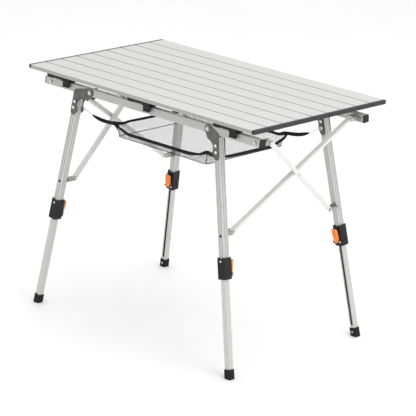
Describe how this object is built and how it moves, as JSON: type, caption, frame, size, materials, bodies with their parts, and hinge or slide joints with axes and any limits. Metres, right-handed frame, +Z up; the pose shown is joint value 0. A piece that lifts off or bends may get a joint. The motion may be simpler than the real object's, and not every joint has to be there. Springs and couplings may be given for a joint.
{
  "type": "camp kitchen table",
  "caption": "Folding camp table with a roll-up slatted top, leaning telescoping legs locked by cam levers, crossed braces and a mesh basket under the top.",
  "frame": {"origin": "on the floor under the middle of the table", "axes": "+X along the slats to the right, +Y across the slats to the back, +Z up"},
  "size_m": [0.9, 0.5466, 0.7176],
  "materials": {
    "slat_aluminium": "satin anodised",
    "aluminium": "satin extruded",
    "brace_aluminium": "satin extruded",
    "bracket_steel": "stamped, plated",
    "fasteners": "zinc plated",
    "plastic": "fine moulded texture",
    "lever_plastic": "satin moulded",
    "foot_rubber": "matte",
    "mesh": "open knitted mesh",
    "binding": "woven tape"
  },
  "bodies": {
    "front_rail": {"rail_front": "aluminium", "rail_plugs_front": "plastic", "rest_lugs_front": "aluminium", "rail_bolts_front": "fasteners"},
    "back_rail": {"rail_back": "aluminium", "rail_plugs_back": "plastic", "rest_lugs_back": "aluminium", "rail_bolts_back": "fasteners"},
    "rail_clevis_front_right": {"rail_clevis_front_right": "fasteners"},
    "brace_front_right": {"brace_front_right": "brace_aluminium"},
    "leg_clevis_front_right": {"leg_clevis_front_right": "fasteners"},
    "rail_clevis_back_right": {"rail_clevis_back_right": "fasteners"},
    "brace_back_right": {"brace_back_right": "brace_aluminium"},
    "leg_clevis_back_right": {"leg_clevis_back_right": "fasteners"},
    "rail_clevis_front_left": {"rail_clevis_front_left": "fasteners"},
    "brace_front_left": {"brace_front_left": "brace_aluminium"},
    "leg_clevis_front_left": {"leg_clevis_front_left": "fasteners"},
    "rail_clevis_back_left": {"rail_clevis_back_left": "fasteners"},
    "brace_back_left": {"brace_back_left": "brace_aluminium"},
    "leg_clevis_back_left": {"leg_clevis_back_left": "fasteners"},
    "leg_front_left": {"upper_leg_front_left": "aluminium", "bracket_front_left": "bracket_steel", "sleeve_front_left": "plastic"},
    "lower_leg_front_left": {"lower_leg_front_left": "aluminium", "foot_front_left": "foot_rubber"},
    "cam_lever_front_left": {"cam_lever_front_left": "lever_plastic"},
    "leg_front_right": {"upper_leg_front_right": "aluminium", "bracket_front_right": "bracket_steel", "sleeve_front_right": "plastic"},
    "lower_leg_front_right": {"lower_leg_front_right": "aluminium", "foot_front_right": "foot_rubber"},
    "cam_lever_front_right": {"cam_lever_front_right": "lever_plastic"},
    "leg_back_left": {"upper_leg_back_left": "aluminium", "bracket_back_left": "bracket_steel", "sleeve_back_left": "plastic"},
    "lower_leg_back_left": {"lower_leg_back_left": "aluminium", "foot_back_left": "foot_rubber"},
    "cam_lever_back_left": {"cam_lever_back_left": "lever_plastic"},
    "leg_back_right": {"upper_leg_back_right": "aluminium", "bracket_back_right": "bracket_steel", "sleeve_back_right": "plastic"},
    "lower_leg_back_right": {"lower_leg_back_right": "aluminium", "foot_back_right": "foot_rubber"},
    "cam_lever_back_right": {"cam_lever_back_right": "lever_plastic"},
    "slat_1": {"slat_1": "slat_aluminium", "latch_bases_front": "plastic"},
    "slat_2": {"slat_2": "slat_aluminium"},
    "slat_3": {"slat_3": "slat_aluminium"},
    "slat_4": {"slat_4": "slat_aluminium"},
    "slat_5": {"slat_5": "slat_aluminium"},
    "slat_6": {"slat_6": "slat_aluminium"},
    "slat_7": {"slat_7": "slat_aluminium"},
    "slat_8": {"slat_8": "slat_aluminium"},
    "slat_9": {"slat_9": "slat_aluminium", "latch_bases_back": "plastic"},
    "latch_hooks_front": {"latch_hooks_front": "plastic"},
    "latch_hooks_back": {"latch_hooks_back": "plastic"},
    "basket": {"basket_mesh": "mesh", "basket_rim": "binding", "basket_cords": "binding"}
  },
  "joints": [
    {"name": "frame_fold", "type": "hinge", "parent": "front_rail", "child": "rail_clevis_front_right", "pos_m": [0.412, -0.172, 0.668], "axis": [0, 1, 0], "range_deg": [0, 20], "deforming": ["basket_mesh", "basket_rim", "basket_cords"]},
    {"name": "brace_pin_front_right", "type": "hinge", "parent": "rail_clevis_front_right", "child": "brace_front_right", "pos_m": [0.41961, -0.172, 0.66554], "axis": [-0.9516, 0, 0.3075], "range_deg": [-0.05, 12.37]},
    {"name": "brace_cross_right", "type": "hinge", "parent": "brace_front_right", "child": "brace_back_right", "pos_m": [0.36897, 0, 0.53484], "axis": [-0.9516, 0, 0.3075], "range_deg": [-24.69, 0.05]},
    {"name": "brace_pin_back_right", "type": "hinge", "parent": "brace_back_right", "child": "rail_clevis_back_right", "pos_m": [0.40439, 0.172, 0.67046], "axis": [-0.9516, 0, 0.3075], "range_deg": [-0.05, 12.37]},
    {"name": "back_rail_swivel", "type": "hinge", "parent": "rail_clevis_back_right", "child": "back_rail", "pos_m": [0.412, 0.172, 0.668], "axis": [0, 1, 0], "range_deg": [-20.05, 0.05]},
    {"name": "leg_clevis_pin_back_right", "type": "hinge", "parent": "brace_front_right", "child": "leg_clevis_back_right", "pos_m": [0.32849, 0.19226, 0.38354], "axis": [-0.9516, 0, 0.3075], "range_deg": [-12.37, 0.05]},
    {"name": "leg_clevis_pin_front_right", "type": "hinge", "parent": "brace_back_right", "child": "leg_clevis_front_right", "pos_m": [0.31326, -0.19226, 0.38846], "axis": [-0.9516, 0, 0.3075], "range_deg": [-0.05, 12.37]},
    {"name": "rail_clevis_swivel_front_left", "type": "hinge", "parent": "front_rail", "child": "rail_clevis_front_left", "pos_m": [-0.406, -0.172, 0.668], "axis": [0, -1, 0], "range_deg": [-0.05, 21.52]},
    {"name": "brace_pin_front_left", "type": "hinge", "parent": "rail_clevis_front_left", "child": "brace_front_left", "pos_m": [-0.41376, -0.172, 0.66607], "axis": [-0.9705, 0, -0.241], "range_deg": [-0.05, 12.6]},
    {"name": "brace_cross_left", "type": "hinge", "parent": "brace_front_left", "child": "brace_back_left", "pos_m": [-0.37306, 0, 0.53532], "axis": [-0.9705, 0, -0.241], "range_deg": [-25.16, 0.05]},
    {"name": "brace_pin_back_left", "type": "hinge", "parent": "brace_back_left", "child": "rail_clevis_back_left", "pos_m": [-0.39824, 0.172, 0.66993], "axis": [-0.9705, 0, -0.241], "range_deg": [-0.05, 12.6]},
    {"name": "leg_clevis_pin_back_left", "type": "hinge", "parent": "brace_front_left", "child": "leg_clevis_back_left", "pos_m": [-0.34375, 0.19358, 0.38407], "axis": [-0.9705, 0, -0.241], "range_deg": [-12.6, 0.05]},
    {"name": "leg_clevis_pin_front_left", "type": "hinge", "parent": "brace_back_left", "child": "leg_clevis_front_left", "pos_m": [-0.32822, -0.19358, 0.38793], "axis": [-0.9705, 0, -0.241], "range_deg": [-0.05, 12.6]},
    {"name": "leg_hinge_front_left", "type": "hinge", "parent": "front_rail", "child": "leg_front_left", "pos_m": [-0.237, -0.21, 0.668], "axis": [0, -0.9969, 0.0785], "range_deg": [-0.05, 27.27]},
    {"name": "leg_slide_front_left", "type": "slide", "parent": "leg_front_left", "child": "lower_leg_front_left", "axis": [-0.1582, -0.0775, -0.9844], "range_m": [-0.2, 0]},
    {"name": "cam_lever_hinge_front_left", "type": "hinge", "parent": "leg_front_left", "child": "cam_lever_front_left", "pos_m": [-0.35259, -0.22089, 0.28108], "axis": [0.9874, -0.0124, -0.1577], "range_deg": [-100, 0]},
    {"name": "leg_hinge_front_right", "type": "hinge", "parent": "front_rail", "child": "leg_front_right", "pos_m": [0.237, -0.21, 0.668], "axis": [0, 0.9969, -0.0785], "range_deg": [-0.05, 26.45]},
    {"name": "leg_slide_front_right", "type": "slide", "parent": "leg_front_right", "child": "lower_leg_front_right", "axis": [0.1954, -0.0769, -0.9777], "range_m": [-0.2, 0]},
    {"name": "cam_lever_hinge_front_right", "type": "hinge", "parent": "leg_front_right", "child": "cam_lever_front_right", "pos_m": [0.34162, -0.22093, 0.28064], "axis": [0.9807, 0.0153, 0.1947], "range_deg": [-100, 0]},
    {"name": "leg_hinge_back_left", "type": "hinge", "parent": "back_rail", "child": "leg_back_left", "pos_m": [-0.237, 0.21, 0.668], "axis": [0, -0.9969, -0.0785], "range_deg": [-0.05, 27.27]},
    {"name": "leg_slide_back_left", "type": "slide", "parent": "leg_back_left", "child": "lower_leg_back_left", "axis": [-0.1582, 0.0775, -0.9844], "range_m": [-0.2, 0]},
    {"name": "cam_lever_hinge_back_left", "type": "hinge", "parent": "leg_back_left", "child": "cam_lever_back_left", "pos_m": [-0.35259, 0.22089, 0.28108], "axis": [-0.9874, -0.0124, 0.1577], "range_deg": [-100, 0]},
    {"name": "leg_hinge_back_right", "type": "hinge", "parent": "back_rail", "child": "leg_back_right", "pos_m": [0.237, 0.21, 0.668], "axis": [0, 0.9969, 0.0785], "range_deg": [-0.05, 26.45]},
    {"name": "leg_slide_back_right", "type": "slide", "parent": "leg_back_right", "child": "lower_leg_back_right", "axis": [0.1954, 0.0769, -0.9777], "range_m": [-0.2, 0]},
    {"name": "cam_lever_hinge_back_right", "type": "hinge", "parent": "leg_back_right", "child": "cam_lever_back_right", "pos_m": [0.34162, 0.22093, 0.28064], "axis": [-0.9807, 0.0153, -0.1947], "range_deg": [-100, 0]},
    {"name": "top_lift", "type": "slide", "parent": "front_rail", "child": "slat_9", "axis": [0, 0, 1], "range_m": [0, 0.15]},
    {"name": "top_roll", "type": "hinge", "parent": "slat_9", "child": "slat_8", "pos_m": [0, 0.20883, 0.717], "axis": [-1, 0, 0], "range_deg": [0, 38]},
    {"name": "slat_hinge_7", "type": "hinge", "parent": "slat_8", "child": "slat_7", "pos_m": [0, 0.14917, 0.717], "axis": [-1, 0, 0], "range_deg": [-0.05, 38.05]},
    {"name": "slat_hinge_6", "type": "hinge", "parent": "slat_7", "child": "slat_6", "pos_m": [0, 0.0895, 0.717], "axis": [-1, 0, 0], "range_deg": [-0.05, 38.05]},
    {"name": "slat_hinge_5", "type": "hinge", "parent": "slat_6", "child": "slat_5", "pos_m": [0, 0.02983, 0.717], "axis": [-1, 0, 0], "range_deg": [-0.05, 38.05]},
    {"name": "slat_hinge_4", "type": "hinge", "parent": "slat_5", "child": "slat_4", "pos_m": [0, -0.02983, 0.717], "axis": [-1, 0, 0], "range_deg": [-0.05, 38.05]},
    {"name": "slat_hinge_3", "type": "hinge", "parent": "slat_4", "child": "slat_3", "pos_m": [0, -0.0895, 0.717], "axis": [-1, 0, 0], "range_deg": [-0.05, 38.05]},
    {"name": "slat_hinge_2", "type": "hinge", "parent": "slat_3", "child": "slat_2", "pos_m": [0, -0.14917, 0.717], "axis": [-1, 0, 0], "range_deg": [-0.05, 38.05]},
    {"name": "slat_hinge_1", "type": "hinge", "parent": "slat_2", "child": "slat_1", "pos_m": [0, -0.20883, 0.717], "axis": [-1, 0, 0], "range_deg": [-0.05, 38.05]},
    {"name": "latch_hinge_front", "type": "hinge", "parent": "slat_1", "child": "latch_hooks_front", "pos_m": [0, -0.2265, 0.697], "axis": [1, 0, 0], "range_deg": [-70, 0]},
    {"name": "latch_hinge_back", "type": "hinge", "parent": "slat_9", "child": "latch_hooks_back", "pos_m": [0, 0.2265, 0.697], "axis": [-1, 0, 0], "range_deg": [-70, 0]},
    {"name": "basket_unhook", "type": "slide", "parent": "front_rail", "child": "basket", "axis": [0, 0, 1], "range_m": [0, 0.012]}
  ],
  "couplings": [
    {"joint": "brace_pin_front_right", "follows": "frame_fold", "ratio": 0.61607},
    {"joint": "brace_cross_right", "follows": "frame_fold", "ratio": -1.2321},
    {"joint": "brace_pin_back_right", "follows": "frame_fold", "ratio": 0.61607},
    {"joint": "back_rail_swivel", "follows": "frame_fold", "ratio": -1},
    {"joint": "leg_clevis_pin_back_right", "follows": "frame_fold", "ratio": -0.61607},
    {"joint": "leg_clevis_pin_front_right", "follows": "frame_fold", "ratio": 0.61607},
    {"joint": "rail_clevis_swivel_front_left", "follows": "frame_fold", "ratio": 1.0735},
    {"joint": "brace_pin_front_left", "follows": "frame_fold", "ratio": 0.62766},
    {"joint": "brace_cross_left", "follows": "frame_fold", "ratio": -1.2553},
    {"joint": "brace_pin_back_left", "follows": "frame_fold", "ratio": 0.62766},
    {"joint": "leg_clevis_pin_back_left", "follows": "frame_fold", "ratio": -0.62766},
    {"joint": "leg_clevis_pin_front_left", "follows": "frame_fold", "ratio": 0.62766},
    {"joint": "leg_hinge_front_left", "follows": "frame_fold", "ratio": 1.3612},
    {"joint": "leg_hinge_front_right", "follows": "frame_fold", "ratio": 1.32},
    {"joint": "leg_hinge_back_left", "follows": "frame_fold", "ratio": 1.3612},
    {"joint": "leg_hinge_back_right", "follows": "frame_fold", "ratio": 1.32},
    {"joint": "slat_hinge_7", "follows": "top_roll", "ratio": 1},
    {"joint": "slat_hinge_6", "follows": "top_roll", "ratio": 1},
    {"joint": "slat_hinge_5", "follows": "top_roll", "ratio": 1},
    {"joint": "slat_hinge_4", "follows": "top_roll", "ratio": 1},
    {"joint": "slat_hinge_3", "follows": "top_roll", "ratio": 1},
    {"joint": "slat_hinge_2", "follows": "top_roll", "ratio": 1},
    {"joint": "slat_hinge_1", "follows": "top_roll", "ratio": 1}
  ]
}
